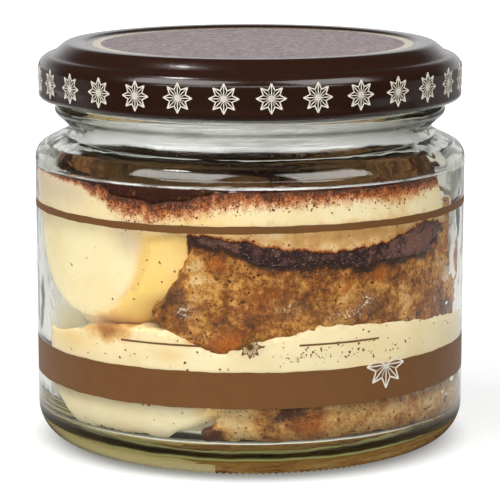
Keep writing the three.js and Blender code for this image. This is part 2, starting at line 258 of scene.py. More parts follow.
points, faces = turned(jar_outline(), KNURLS * 3)
reach = np.hypot(points[:, 0], points[:, 1])
bearing = np.arctan2(points[:, 0], -points[:, 1])
# The knurls: small hollows across the ring that the jar stands on.
on_foot = np.exp(-((reach - KNURL_RING) / 1.2) ** 2) * np.exp(-np.maximum(points[:, 2], 0) / 0.7)
points[:, 2] += KNURL_DEPTH * on_foot * (0.5 - 0.5 * np.cos(KNURLS * bearing)) * (points[:, 2] < 3)
# The blown inner face wanders a little.
inner = (reach < BORE + 0.3) & (points[:, 2] > 12) & (points[:, 2] < 47)
wander = np.sin(3 * bearing + points[:, 2] / 9) + np.sin(7 * bearing - points[:, 2] / 5 + 1)
points[inner, :2] *= (1 + GLASS_WAVE * 0.5 * wander[inner] / BORE)[:, None]
piece("glass_jar", points, faces, glass, "clear_glass", "jar")

# ---- The lower sponge
# Finger biscuit soaked in coffee, laid on the floor of the jar and pressed against the glass. It
# is torn off at the left, where a dollop of cream goes down to the floor beside it.

LOWER_SPONGE_TOP = 15.6
LOWER_TEAR = -4.5
SPONGE_SKIN = 0.10  # how far each filling is pressed into the glass, so that no air shows between
CREAM_SKIN = 0.13
COCOA_SKIN = 0.16
GRID_STEP = 0.45


def round_the_jar(*stations):
    """A value that drifts smoothly from station to station round the jar: (degrees, value), ..."""
    at, values = np.array(stations, dtype=float).T

    def value(degrees):
        turn = (degrees - at[0]) % 360 + at[0]
        before = np.searchsorted(at, turn, side="right") - 1
        after = (before + 1) % len(at)
        end = np.where(before + 1 < len(at), at[after], at[0] + 360)
        share = (turn - at[before]) / (end - at[before])
        share = share * share * (3 - 2 * share)
        return values[before] + (values[after] - values[before]) * share

    return value


def bearings(x, y):
    """Degrees from the front, positive towards the right, and the distance from the axis."""
    return np.degrees(np.arctan2(x, -y)), np.hypot(x, y)


def lumps(x, y, z, size, seed):
    """Smooth repeatable unevenness between -1 and 1, in lumps of about the given size."""
    x, y, z = np.broadcast_arrays(x / size, y / size, z / size)
    cells = [np.floor(v).astype(np.int64) for v in (x, y, z)]
    shares = [v - c for v, c in zip((x, y, z), cells)]
    shares = [s * s * (3 - 2 * s) for s in shares]
    total = 0
    for corner in range(8):
        mixed = seed * 668265263
        weight = 1
        for way, prime in enumerate((374761393, 1103515245, 974634777)):
            bit = (corner >> way) & 1
            mixed = mixed + (cells[way] + bit) * prime
            weight = weight * (shares[way] if bit else 1 - shares[way])
        mixed = (mixed ^ (mixed >> 13)) * 1274126177 & 0xFFFFFFFF
        mixed = ((mixed ^ (mixed >> 16)) * 2246822519 & 0xFFFFFFFF) >> 8
        total = total + weight * ((mixed & 0xFFFF) / 32767.5 - 1)
    return total


def shaped(field, low, high, step=GRID_STEP):
    """Points and faces of the surface where a field, negative inside, passes zero."""
    spans = [np.arange(a, b + step, step) for a, b in zip(low, high)]
    value = field(spans[0][:, None, None], spans[1][None, :, None], spans[2][None, None, :])
    for edge in (value[[0, -1]], value[:, [0, -1]], value[:, :, [0, -1]]):
        assert edge.min() > 0, "the surface leaves its grid"
    cells = [len(span) - 1 for span in spans]
    room_for = int(np.prod(cells))
    sums, counts, sheets = np.zeros((3, room_for)), np.zeros(room_for), []
    for axis in range(3):
        others = [other for other in range(3) if other != axis]
        here = np.take(value, range(cells[axis]), axis)
        there = np.take(value, range(1, cells[axis] + 1), axis)
        crossing = np.argwhere((here < 0) != (there < 0))
        from_value, to_value = here[tuple(crossing.T)], there[tuple(crossing.T)]
        at = crossing.astype(float)
        at[:, axis] += from_value / (from_value - to_value)
        corners = []
        for shift in ((0, 0), (-1, 0), (-1, -1), (0, -1)):
            cell = crossing.copy()
            cell[:, others] += shift
            ids = np.ravel_multi_index(cell.T, cells)
            corners.append(ids)
            counts += np.bincount(ids, minlength=room_for)
            for way in range(3):
                sums[way] += np.bincount(ids, weights=at[:, way], minlength=room_for)
        sheet = np.stack(corners, 1)
        backwards = (from_value < 0) == (axis == 1)
        sheet[backwards] = sheet[backwards][:, ::-1]
        sheets.append(sheet)
    used, faces = np.unique(np.vstack(sheets), return_inverse=True)
    points = (sums[:, used] / counts[used]).T * step + low
    for _ in range(2):
        off = field(*points.T)
        slope = np.stack([(field(*(points + nudge).T) - field(*(points - nudge).T)) / 0.1
                          for nudge in np.eye(3) * 0.05], 1)
        move = -off[:, None] * slope / np.maximum((slope**2).sum(1), 0.05)[:, None]
        points += np.clip(move, -0.3 * step, 0.3 * step)
    return points, faces.reshape(-1, 4)


def blend(a, b, width):
    """The union of two fields, with a hollow of the given width where they meet."""
    share = np.clip(0.5 + 0.5 * (b - a) / width, 0, 1)
    return b * (1 - share) + a * share - width * share * (1 - share)


def bevel(a, b, width):
    """What two fields share, with a rounded edge of the given width."""
    return -blend(-a, -b, width)


def room(x, y, z, skin, reach):
    """The inside of the jar, pressed into the glass by skin and standing back where reach says."""
    radius = np.hypot(x, y) - np.minimum(reach, 0)
    corner_x, corner_z = BORE - FLOOR_CORNER, FLOOR_TOP + FLOOR_CORNER
    corner = np.hypot(np.maximum(radius - corner_x, 0), np.maximum(corner_z - z, 0)) - FLOOR_CORNER
    filled = np.maximum(np.maximum(radius - BORE, FLOOR_TOP - z), corner) - skin
    # Nothing reaches down into the corner of the floor: a ring of air shines white there.
    ragged = 0.22 * lumps(x, y, 0 * z, 3.5, 91) + 0.15 * lumps(x, y, 0 * z, 1.1, 92)
    air = FLOOR_TOP + 1.25 + 0.4 * (radius - 33.2) + ragged - z
    return np.maximum(filled, np.minimum(air, radius - 28.5))


def layer_top(edge, middle, *unevenness):
    """The height of a layer's top, which lies at edge along the glass and at middle on the axis.
    unevenness gives the depth, size and seed of its lumps."""

    def height(x, y):
        degrees, radius = bearings(x, y)
        level = middle + (edge(degrees) - middle) * np.minimum(radius / (BORE - 1), 1) ** 2
        return level + sum(depth * lumps(x, y, 0 * x, size, seed) for depth, size, seed in unevenness)

    return height


def paint(made, name, values):
    """A value at each point of a piece, which its finish reads by name."""
    made.data.attributes.new(name, "FLOAT", "POINT").data.foreach_set("value", values.astype(np.float32))


def spots(points, *places):
    """Soft spots on the glass, added up: (amount, degrees, height, reach in degrees, reach in height)."""
    angle, _ = bearings(points[:, 0], points[:, 1])
    total = 0
    for amount, degrees, height, wide, tall in places:
        across = ((angle - degrees + 180) % 360 - 180) / wide
        total = total + amount * np.exp(-across**2 - ((points[:, 2] - height) / tall) ** 2)
    return total


# Sponge crumb: straw to coffee brown, with darker veins, wet patches and pores; the pores are painted shade.
crumb = Nodes(bpy.data.node_groups.new("crumb", "ShaderNodeTree"))
sockets = crumb.tree.interface
for name, kind in (("Spot", "Vector"), ("Straw", "Color"), ("Coffee", "Color"), ("Vein", "Color"),
                   ("Soak", "Float"), ("Amber", "Float")):
    sockets.new_socket(name, in_out="INPUT", socket_type="NodeSocket" + kind)
sockets.new_socket("Color", in_out="OUTPUT", socket_type="NodeSocketColor")
sockets.new_socket("Height", in_out="OUTPUT", socket_type="NodeSocketFloat")
given = crumb.tree.nodes.new("NodeGroupInput").outputs
strayed = crumb.strayed(given["Spot"], 0.8, 1.3)
patches = crumb.noise(given["Spot"], 0.17, 4, 0.62)
grit = crumb.noise(strayed, 0.75, 6, 0.74)
value = crumb.calc("ADD", crumb.weighed(patches, 1.1, given["Soak"]), grit)
glow = crumb.calc("MULTIPLY", given["Amber"], patches)
fine = crumb.noise(given["Spot"], 2.3, 4, 0.8)
colour = crumb.layered(
    linear(222, 188, 136), (value, 0.84, 1.0, 1, given["Straw"]), (value, 1.0, 1.16, 1, given["Coffee"]),
    (value, 1.17, 1.38, 1, given["Vein"]), (glow, 0.12, 0.42, 0.85, linear(186, 100, 26)),
    (fine, 0.58, 0.76, 0.5, linear(220, 174, 110)), (fine, 0.46, 0.34, 0.85, given["Vein"]))
# The pores take the vein colour: painted shade in the crumb's holes.
holes = crumb.add("TexVoronoi", in_Vector=strayed, in_Scale=1.15, in_Randomness=1)["Distance"]
hole_size = crumb.ranged(crumb.noise(given["Spot"], 0.8), 0.38, 0.66, 0.36, 0.06)
pores_painted_dark = crumb.ranged(crumb.calc("SUBTRACT", hole_size, holes), 0, 0.10, 0.88)
colour = crumb.mix(pores_painted_dark, colour, given["Vein"])
result = crumb.tree.nodes.new("NodeGroupOutput").inputs
crumb.put(colour, result["Color"])
crumb.put(crumb.calc("SUBTRACT", grit, pores_painted_dark), result["Height"])


def sponge_finish(name, straw, coffee, vein):
    sponge = Finish(name, Specular_IOR_Level=0.4)
    spot, wet = sponge.spot(), sponge.painted("wet")
    grain = sponge.add("Group", node_tree=crumb.tree, in_Spot=spot, in_Straw=straw, in_Coffee=coffee,
                       in_Vein=vein, in_Soak=sponge.painted("soak"), in_Amber=sponge.painted("amber"))
    # Wet places are veiled, and hold beads of coffee and syrup; their glints are painted on as pale dots.
    veiled = sponge.mix(sponge.calc("MULTIPLY", wet, 0.4), grain["Color"], linear(146, 106, 76))
    painted_glints = sponge.weighed(wet, 0.22, sponge.noise(spot, 1.9, 5, 0.8))
    sponge.set(Base_Color=sponge.layered(veiled, (painted_glints, 0.74, 0.82, 0.9, linear(250, 240, 225))),
               Roughness=sponge.weighed(wet, -0.35, 0.6), Normal=sponge.bump(grain["Height"], 0.7, 0.0005))
    return sponge


def pitted(points, faces, depth, seed):
    """The same surface with crumb holes in it, mostly shallow and a few deep."""
    a, b, c, d = (points[faces[:, k]] for k in range(4))
    facing = np.cross(c - a, d - b)
    outwards = np.zeros_like(points)
    for k in range(4):
        np.add.at(outwards, faces[:, k], facing)
    outwards /= np.maximum(np.linalg.norm(outwards, axis=1), 1e-9)[:, None]
    x, y, z = points.T
    hole = lumps(x, y, z, 1.5, seed) + 0.55 * lumps(x, y, z, 0.8, seed + 1)
    big = np.maximum(lumps(x, y, z, 3.1, seed + 2) - 0.45, 0)
    sunk = depth * (np.maximum(hole - 0.25, 0) + 1.6 * big) * np.clip((z - 7) / 3, 0, 1)
    return points - outwards * sunk[:, None]


lower_reach = round_the_jar((-82, -1.2), (-62, 0.2), (72, 0.2), (95, -0.8), (120, 0.2), (250, 0.2))


def lower_sponge_field(x, y, z):
    inside = room(x, y, z, SPONGE_SKIN, lower_reach(bearings(x, y)[0]))
    foot = 3.6 * np.exp(-(((z - 6.6) / 1.7) ** 2))
    tear = LOWER_TEAR - foot + 1.2 * lumps(0 * y, y, z, 3.0, 5) + 0.18 * (z - 10) - x
    return bevel(bevel(inside, tear, 1.6), z - LOWER_SPONGE_TOP - 0.5, 0.8)


points, faces = shaped(lower_sponge_field, (-13, -36, 4.4), (36, 36, 17.5))
points = pitted(points, faces, 0.5, 11)
sponge_low = sponge_finish("soaked_sponge_low", linear(216, 168, 100), linear(182, 122, 58),
                           linear(84, 46, 22))
made = piece("sponge_lower", points, faces.tolist(), sponge_low, "soaked_sponge", "lower_sponge")
# The strongest soak, low at the torn end, is painted shade for the dark corner between sponge, cream and
# floor, and coffee.
paint(made, "soak", spots(points, (0.26, 10, 11, 6, 3.5), (-0.30, -4, 10.5, 4.5, 3.6),
                          (0.75, -10.5, 7.2, 4, 1.5)))
paint(made, "amber", spots(points, (0.55, 16, 9, 9, 2.5), (0.45, 45, 12, 14, 3)))
paint(made, "wet", spots(points, (0.6, 20, 7, 30, 1.5)))

# ---- The lower cream
# Mascarpone cream piped in dollops down to the floor at the left and spread over the sponge. It
# is pressed against the glass almost all round; coffee has run into its top edge.

LOWER_CREAM_MIDDLE = 23.5
DOLLOP_CORE = 15  # a dollop on the glass ends this far from the axis
lower_cream_edge = round_the_jar(
    (-95, 22.4), (-62, 21.8), (-54, 22.8), (-47, 24.2), (-36, 24.7), (-22, 24.8), (-18, 24.2), (-14.5, 22.8),
    (-10.4, 21.8), (-6.5, 21.8), (-2.5, 22.5), (1.4, 23.5), (10.6, 24.5), (21.5, 25.6), (30.3, 25.7),
    (43.9, 25), (62, 24.2), (74, 23.7), (120, 23.4), (180, 24.8), (225, 23.2))
lower_cream_top = layer_top(lower_cream_edge, LOWER_CREAM_MIDDLE, (0.25, 2.3, 31), (0.18, 1, 32))
lower_rim = round_the_jar((-90, 2), (0, 3), (90, 4), (180, 3))
tight_rim = round_the_jar((-90, 2.5), (0, 4), (90, 4), (180, 3))


def dollop(x, y, z, place, height, half_width, half_height, rim, depth):
    """A dollop pressed on the glass. rim is how far in from its outline it starts to curve away,
    by the direction from its middle: 0 to the right, 90 up."""
    degrees, radius = bearings(x, y)
    across = np.radians((degrees - place + 180) % 360 - 180) * BORE
    up = z - height + 0 * across
    ratio = np.hypot(across / half_width, up / half_height)
    inwards = (1 - ratio) * min(half_width, half_height)
    rounding = rim(np.degrees(np.arctan2(up, across + 0 * up)))
    edge = np.maximum((rounding - inwards) / rounding, 0)
    face = np.maximum((depth - (BORE + CREAM_SKIN - radius)) / depth, 0)
    body = (np.hypot(edge, face) - 1) * np.minimum(rounding, depth)
    return np.maximum(body, DOLLOP_CORE - radius)


def lower_cream_field(x, y, z):
    degrees, radius = bearings(x, y)
    front = dollop(x, y, z, -39, 18, 24.2, 13.6, lower_rim, 7)
    back = dollop(x, y, z, -128, 17, 24, 12.8, tight_rim, 7)
    behind = np.maximum(np.maximum(radius - 30, x + 5), FLOOR_TOP - z)
    piped = blend(blend(front, back, 2.5), behind, 3)
    both = blend(piped, LOWER_SPONGE_TOP - z, 1.0)
    inside = room(x, y, z, CREAM_SKIN, lower_reach(degrees))
    return bevel(np.maximum(both, inside), z - lower_cream_top(x, y), 1.0)


# Cream: smooth and moist, dusted with cocoa and stained by coffee. Its hollows, where it curves
# away from the glass, are painted a deeper yellow: painted shade.
cream = Finish("mascarpone_cream", Roughness=0.42, Specular_IOR_Level=0.25, Subsurface_Weight=0.2,
               Subsurface_Radius=(1.0, 0.7, 0.35), Subsurface_Scale=0.0015)
spot = cream.spot()
dusting, specks, stain, deep, film = map(cream.painted, ("dusting", "specks", "stain", "deep", "film"))
cloud = cream.noise(spot, 0.11)
soft = cream.noise(spot, 0.5, 4, 0.6)
greyed = cream.weighed(cream.noise(cream.stretched(spot, 1, 1, 0.5), 0.3, 3), 0.5, film)
brewed = cream.weighed(soft, 0.8, stain)
# Cocoa: a warm haze where it has melted into the cream, clumps, then single grains.
haze = cream.calc("ADD", cream.noise(cream.stretched(spot, 1, 1, 0.6), 0.55, 4, 0.6), dusting)
powder = cream.noise(cream.stretched(spot, 1, 1, 0.7), 1.0, 5, 0.72)
powder = cream.weighed(cream.noise(spot, 3.0, 3, 0.75), 0.9, powder)
clumps = cream.calc("ADD", powder, dusting)
# The deeper yellow layer is painted shade.
colour = cream.layered(
    linear(246, 232, 198), (cloud, 0.35, 0.65, 1, linear(242, 224, 186)),
    (cream.weighed(cloud, 0.3, deep), 0.15, 1.1, 1, linear(236, 198, 124)),
    (greyed, 0.45, 1.1, 0.9, linear(218, 198, 176)), (brewed, 0.55, 0.95, 0.9, linear(218, 168, 104)),
    (brewed, 0.90, 1.35, 0.9, linear(160, 104, 52)), (haze, 0.66, 1.10, 0.85, linear(206, 132, 74)),
    (clumps, 1.22, 1.42, 0.85, linear(166, 84, 40)), (clumps, 1.44, 1.62, 1, linear(66, 36, 24)))
shaken = cream.strayed(spot, 3.0, 0.7)
for scale, size, ease in ((2.5, 0.62, 1.1), (1.2, 0.38, 0.5)):
    grains = cream.add("TexVoronoi", in_Vector=shaken, in_Scale=scale, in_Randomness=1)
    chance = cream.add("SeparateColor", in_0=grains["Color"])
    inside = cream.calc("LESS_THAN", grains["Distance"], cream.calc("MULTIPLY", chance[1], size))
    sown = cream.calc("LESS_THAN", chance[0], cream.weighed(dusting, ease, specks))
    colour = cream.mix(cream.calc("MULTIPLY", inside, sown), colour, linear(112, 48, 18))
cream.set(Base_Color=colour, Normal=cream.bump(soft, 0.25, 0.0006))

points, faces = shaped(lower_cream_field, (-36, -36, 4.4), (36, 36, 27.5))
made = piece("cream_lower", points, faces.tolist(), cream, "cream", "lower_cream")
x, y, height = points.T
coffee = np.exp(-np.maximum(lower_cream_top(x, y) - height, 0) / 0.8)
paint(made, "stain", coffee * (0.09 + spots(points, (0.30, 12, 24, 55, 9)))
      + spots(points, (1, -41, 23.6, 7, 2), (0.6, -14, 24, 5, 1.6)))
paint(made, "film", spots(points, (0.8, -62, 24, 12, 2.5)))
# Painted shade: a deeper yellow where the cream turns away from the glass.
paint(made, "deep", spots(points, (0.9, -10, 12.5, 5, 3), (0.35, -52, 20.5, 9, 2), (0.5, -22, 20.5, 5, 1.2),
                          (0.6, -64, 22, 15, 2.6)))
paint(made, "specks", 0.02 + spots(points, (0.42, 25, 20.9, 15, 1.3), (0.20, -21, 19.6, 5, 0.9),
                                   (0.3, -27, 12, 2.5, 0.6)))
paint(made, "dusting", spots(points, (0.25, 12, 20.6, 4, 0.8), (0.3, -27, 12.1, 2.2, 0.5)))

# ---- The upper sponge
# The second layer of soaked biscuit, torn off at the left against the big dollop. Its torn end
# is pale and dry, its foot is wet with coffee and drips into the cream below.

UPPER_TEAR = -9.4
UPPER_SPONGE_MIDDLE = 35.8
TEAR_HEIGHTS = (22, 24, 25.6, 28, 30, 33.5, 38)
TEAR_IN_FRONT = (-9.4, -12.4, -14.8, -15.2, -13.6, -11.6, -9.6)
GAP_HEIGHTS = (24, 29.5, 36.6, 43.8, 50.8)
GAP_BEARINGS = (71.3, 69.2, 66.5, 61.6, 56.9)
upper_sponge_edge = round_the_jar(
    (-60, 38.8), (-15.7, 39), (-6.4, 38.7), (-2.5, 37.1), (1.4, 36), (7.9, 35.5), (24.2, 35.3), (30.2, 34.4),
    (36.6, 35), (53, 35.2), (58, 37.6), (63, 39), (70, 38.8), (120, 35.2), (165, 36.8), (215, 35.6))
upper_sponge_top = layer_top(upper_sponge_edge, UPPER_SPONGE_MIDDLE, (0.3, 2, 41), (0.22, 0.9, 42))


def upper_reach(degrees, z):
    """How far the upper level stands back from the glass: an air gap opens at the far right,
    leaning to the left as it rises, and there are smaller ones at the left and behind."""
    opening = np.clip((degrees - np.interp(z, GAP_HEIGHTS, GAP_BEARINGS)) / 9, 0, 1)
    opening = opening * np.clip((122 - degrees) / 16, 0, 1)
    left = np.clip((-78 - degrees) / 8, 0, 1) * np.clip((degrees + 108) / 10, 0, 1)
    back = np.clip(1 - np.abs((degrees % 360) - 236) / 14, 0, 1)
    return 0.2 - 2.6 * opening**0.8 - 1.5 * left - 1.1 * back


def upper_tear(y, z):
    """Where the torn left end lies. In front it runs out over the cream towards its foot."""
    front = np.interp(z, TEAR_HEIGHTS, TEAR_IN_FRONT)
    place = UPPER_TEAR + (front - UPPER_TEAR) * np.clip(-y / 8, 0, 1)
    return place + 0.6 * lumps(0 * y, y, z, 2.0, 7) + 0.3 * lumps(0 * y, y, z, 0.9, 9)


def upper_sponge_field(x, y, z):
    inside = room(x, y, z, SPONGE_SKIN, upper_reach(bearings(x, y)[0], z))
    slab = np.maximum(lower_cream_top(x, y) - 0.5 - z, z - upper_sponge_top(x, y) - 0.4)
    return np.maximum(bevel(inside, upper_tear(y, z) - x, 1.6), slab)


points, faces = shaped(upper_sponge_field, (-17, -36, 20), (36, 36, 41.5))
points = pitted(points, faces, 0.5, 17)
sponge_high = sponge_finish("soaked_sponge_high", linear(210, 150, 74), linear(144, 84, 28),
                            linear(54, 26, 12))
made = piece("sponge_upper", points, faces.tolist(), sponge_high, "soaked_sponge", "upper_sponge")
x, y, height = points.T
under_seam = np.maximum(upper_sponge_top(x, y) - height, 0)
paint(made, "soak", 0.09 + 0.22 * np.exp(-under_seam / 1.3) + 0.352 * np.exp(-under_seam / 0.35)
      + spots(points, (0.16, -22, 30, 2.5, 2), (0.12, -5, 24, 9, 3), (0.10, 8, 30, 10, 4),
              (-0.10, 46, 31, 9, 4), (-0.20, -14, 34, 3.5, 3.5), (0.05, 50, 34, 9, 3),
              (0.14, 26, 27, 14, 1.6), (-0.10, 5, 35, 6, 1.6)))
paint(made, "amber", spots(points, (0.8, -6, 23, 6, 2.6), (0.9, 37, 33, 2.6, 1.8), (0.4, 58, 28, 3.5, 2.5),
                           (0.9, 25.8, 31.2, 2.4, 1.2), (0.45, 4, 30, 10, 5), (0.6, -9, 36, 4, 2)))
paint(made, "wet", spots(points, (1, -17, 28, 4, 2.5), (0.9, 10, 28.5, 6, 1.5), (1, 27, 27, 9, 1.8),
                         (0.9, 33, 29.5, 4, 1.6), (0.4, -8, 25, 6, 2)))

# ---- The inner cocoa
# Cocoa dusted over the upper sponge before the cream went on. The damp has turned it into a
# dark seam, thin at the left and thick in the dip of the sponge.

INNER_COCOA_MIDDLE = 38.2
INNER_COCOA_STEP = 0.40
inner_cocoa_edge = round_the_jar(
    (-60, 40.2), (-15.7, 40.3), (-9, 40), (-2.5, 39.5), (5.3, 38.6), (13.2, 37.9), (21.4, 37.2), (25.7, 37.5),
    (38.2, 38), (43.6, 38.8), (52, 40.2), (57, 40.4), (62, 39.5), (70, 39.2), (80, 38.4), (120, 37.8),
    (165, 39.4), (215, 38.6))
inner_cocoa_top = layer_top(inner_cocoa_edge, INNER_COCOA_MIDDLE, (0.26, 1.7, 53), (0.34, 0.75, 54))


def inner_cocoa_field(x, y, z):
    degrees, _ = bearings(x, y)
    inside = room(x, y, z, COCOA_SKIN, upper_reach(degrees, z))
    tear = UPPER_TEAR - 0.4 + 1.8 * (40.2 - z) + 1.1 * lumps(0 * y, y, z, 1.2, 8) - x
    torn = 0.9 * lumps(x, y, z, 1.2, 55) * np.clip((degrees - 44) / 8, 0, 1) * (degrees < 80)
    slab = np.maximum(upper_sponge_top(x, y) - z, z - inner_cocoa_top(x, y) - torn)
    return np.maximum(bevel(inside, tear, 1.5), slab)


def cocoa_finish(name, dark, warm, warm_from, warm_to, dust_and_glint_colour, smooth):
    cocoa = Finish(name, Roughness=0.85, Specular_IOR_Level=0.2)
    spot = cocoa.spot()
    clump = cocoa.noise(spot, 0.7, 6, 0.7)
    bare = cocoa.calc("ADD", clump, cocoa.painted("bare"))
    # Where painted, the body turns a flat olive: painted light, for cocoa seen through the thick shoulder
    # glass.
    body = cocoa.mix(cocoa.painted("painted_olive"), cocoa.layered(dark, (bare, warm_from, warm_to, 1, warm)), smooth)
    # Pale flecks on top: grains of dust on dry cocoa, painted glints on damp cocoa.
    with_dust_and_glints = cocoa.layered(body, (cocoa.noise(spot, 3.5, 3), 0.58, 0.74, 0.6, dust_and_glint_colour))
    cocoa.set(Base_Color=with_dust_and_glints, Normal=cocoa.bump(clump, 0.8, 0.0005))
    return cocoa


# The pale flecks of the damp cocoa are painted glints.
damp_cocoa = cocoa_finish("damp_cocoa", linear(50, 33, 35), linear(122, 84, 76), 0.50, 0.70,
                          linear(178, 156, 152), linear(96, 60, 46))
points, faces = shaped(inner_cocoa_field, (-14, -36, 33), (36, 36, 41.8), INNER_COCOA_STEP)
made = piece("cocoa_inner", points, faces.tolist(), damp_cocoa, "cocoa", "inner_cocoa")
paint(made, "bare", spots(points, (0.22, 52, 38, 12, 4), (0.14, -8, 38.6, 6, 1.5)))

# ---- The crumbs on the glass
# Crumb and coffee that stuck to the inner glass at the right as the jar was filled. The filling
# has since drawn back, and has left them there as a thin torn smear.

SMEAR_STEP = 0.34
SMEAR_DEPTH = 0.5
SMEAR_AMBER = 0.45
# Each spot's bearing, height, reach in degrees and reach in height.
SMEAR_SPOTS = ((65, 40, 3, 3), (64, 35, 2.6, 3), (70, 28, 3.6, 4.5), (62, 30, 2.2, 3), (74, 34, 2.2, 4.5))


def smear_field(x, y, z):
    degrees, radius = bearings(x, y)
    amount = sum(np.exp(-(((degrees - place) / wide) ** 2) - ((z - height) / tall) ** 2)
                 for place, height, wide, tall in SMEAR_SPOTS)
    torn = 0.6 * lumps(x, y, z / 1.7, 1.5, 81) + 0.5 * lumps(x, y, z, 0.75, 82)
    shell = np.maximum(room(x, y, z, SPONGE_SKIN, 0.2), BORE - SMEAR_DEPTH - radius)
    return np.maximum(shell, 0.75 - 1.25 * amount - torn)


points, faces = shaped(smear_field, (20, -28, 18), (36, 2, 48), SMEAR_STEP)
made = piece("glass_crumbs", points, faces.tolist(), sponge_high, "soaked_sponge")
paint(made, "amber", np.full(len(points), SMEAR_AMBER))

# ---- The upper cream
# One big dollop piped against the glass at the left, round and full, and the same cream spread
# over the cocoa and levelled off below the shoulder.

UPPER_CREAM_MIDDLE = 47.2
upper_cream_edge = round_the_jar(
    (-75, 48), (-53.4, 47.9), (-43.2, 47.3), (-35, 46.2), (-26, 45.5), (-20, 45.7), (-12.5, 47.3), (0, 47.9),
    (13, 48.2), (30, 48.4), (51.4, 48.2), (75, 47.4), (130, 46.2), (190, 47.2), (240, 46.4))
spread_top = layer_top(upper_cream_edge, UPPER_CREAM_MIDDLE, (0.5, 2.6, 61), (0.45, 0.95, 62))
big_rim = round_the_jar((-135, 4), (-90, 4.2), (-60, 6), (-35, 8.5), (0, 11.5), (60, 12), (120, 8), (180, 5))
powder_depth = round_the_jar(
    (-70, 0.6), (-52, 1.6), (-43, 3.8), (-35, 5.4), (-26, 4.9), (-19, 4.6), (-12, 5.4), (0, 4.3), (13, 4),
    (26, 3.6), (42, 4.2), (50, 3.6), (70, 2), (120, 3), (200, 3.5))


def upper_cream_top(x, y):
    """The top as it was spread, but wiped level where it meets the glass."""
    return np.minimum(spread_top(x, y), 47.75 + 0.8 * np.maximum(33.5 - np.hypot(x, y), 0))


def upper_cream_field(x, y, z):
    degrees, radius = bearings(x, y)
    front = dollop(x, y, z, -48.2, 42, 20, 19.7, big_rim, 6)
    back = dollop(x, y, z, -128, 40, 17.5, 17.2, tight_rim, 8)
    behind = np.maximum(np.maximum(radius - 27.5, x + 9), lower_cream_top(x, y) - 1 - z)
    piped = blend(blend(front, back, 3), behind, 3)
    filler = bevel(29.5 - z, radius - 33.4 + 0.08 * (x + 17), 2.5)
    filler = np.maximum(filler, np.maximum(-17 - x, x - upper_tear(y, z) - 2))
    piped = blend(piped, filler, 2.5)
    both = blend(piped, inner_cocoa_top(x, y) - 0.15 - z, 1.2)
    inside = room(x, y, z, CREAM_SKIN, upper_reach(degrees, z))
    return bevel(np.maximum(both, inside), z - upper_cream_top(x, y), 0.6)


points, faces = shaped(upper_cream_field, (-36, -36, 19), (36, 36, 50.5))
made = piece("cream_upper", points, faces.tolist(), cream, "cream", "upper_cream")
x, y, height = points.T
angle, _ = bearings(x, y)
below_top = np.maximum(upper_cream_top(x, y) - height, 0)
above_seam = height - inner_cocoa_top(x, y)
over_sponge = x > -10
paint(made, "dusting", 0.78 * np.clip(1 - below_top / powder_depth(angle), 0, 1)
      + 0.75 * np.exp(-np.maximum(above_seam, 0) / 0.5) * over_sponge + spots(points, (0.08, -30, 41, 9, 2)))
paint(made, "stain", 0.34 * np.exp(-np.abs(above_seam) / 1.3) * over_sponge
      + spots(points, (0.62, 26, 40.2, 30, 2.2), (0.5, 42, 45.8, 10, 2), (0.9, -41, 23.8, 6, 2.6)))
paint(made, "specks", 0.003 + 0.25 * np.exp(-np.abs(above_seam) / 0.5) * over_sponge
      + spots(points, (0.06, -28, 37, 4, 6), (0.03, 12, 40.4, 6, 1)))
# The hollow to the right of the dollop, where the cream turns away from the glass, is painted
# a deeper yellow: painted shade.
hollow = np.clip((np.hypot((angle + 52) / 21, (height - 36.5) / 11.6) - 0.93) / 0.12, 0, 1)
hollow = hollow * (angle > -50) * (angle < 0) * np.clip((41.5 - height) / 2, 0, 1)
paint(made, "deep", 0.9 * hollow + spots(points, (0.5, -10, 42.5, 14, 2), (0.5, -26, 28.5, 8, 3)))
paint(made, "film", spots(points, (0.95, -64, 46, 20, 4.2), (0.75, -34, 39, 6, 3.5)))

# ---- The top cocoa
# A thick dusting of cocoa on top, drifted and uneven, which has slid down the glass in places
# and let the cream show through in others.

TOP_COCOA_MIDDLE = 49.6
TOP_COCOA_STEP = 0.42
COCOA_HEAP = 0.7
top_cocoa_edge = round_the_jar((-60, 47.8), (-20, 48), (20, 48), (58, 48), (110, 47.8), (150, 48.2),
                               (200, 47.9), (250, 48.2))
even_top = layer_top(top_cocoa_edge, TOP_COCOA_MIDDLE)
cocoa_reach = round_the_jar((-95, -4.5), (-62, -2), (-54, 0.2), (50, 0.2), (62, -2.5), (90, -3), (120, 0.2),
                            (230, 0.2))


def top_cocoa_top(x, y):
    radius = np.hypot(x, y)
    drift = COCOA_HEAP * np.sin(x / 4.6 + 0.8) * np.cos(y / 5.7 + x / 13) * np.clip((34 - radius) / 6, 0, 1)
    fine = 0.3 * lumps(x, y, 0 * x, 2.4, 71) + 0.18 * lumps(x, y, 0 * x, 1.1, 72)
    return even_top(x, y) + drift + fine * np.clip((34.5 - radius) / 3, 0.2, 1)


def top_cocoa_field(x, y, z):
    inside = room(x, y, z, COCOA_SKIN, cocoa_reach(bearings(x, y)[0]))
    return np.maximum(inside, np.maximum(upper_cream_top(x, y) - 0.1 - z, z - top_cocoa_top(x, y)))


dry_cocoa = cocoa_finish("dry_cocoa", linear(52, 20, 8), linear(208, 148, 92), 0.60, 0.90,
                         linear(120, 70, 40), linear(112, 82, 44))
points, faces = shaped(top_cocoa_field, (-36, -36, 43.5), (36, 36, 51.8), TOP_COCOA_STEP)
made = piece("cocoa_top", points, faces.tolist(), dry_cocoa, "cocoa", "top_cocoa")
x, y, _ = points.T
from_glass = BORE - np.hypot(x, y)
patches = np.exp(-((x - 16) / 12) ** 2 - ((y + 15) / 6) ** 2)
patches += np.exp(-((x + 29) / 5) ** 2 - ((y + 14) / 6) ** 2)
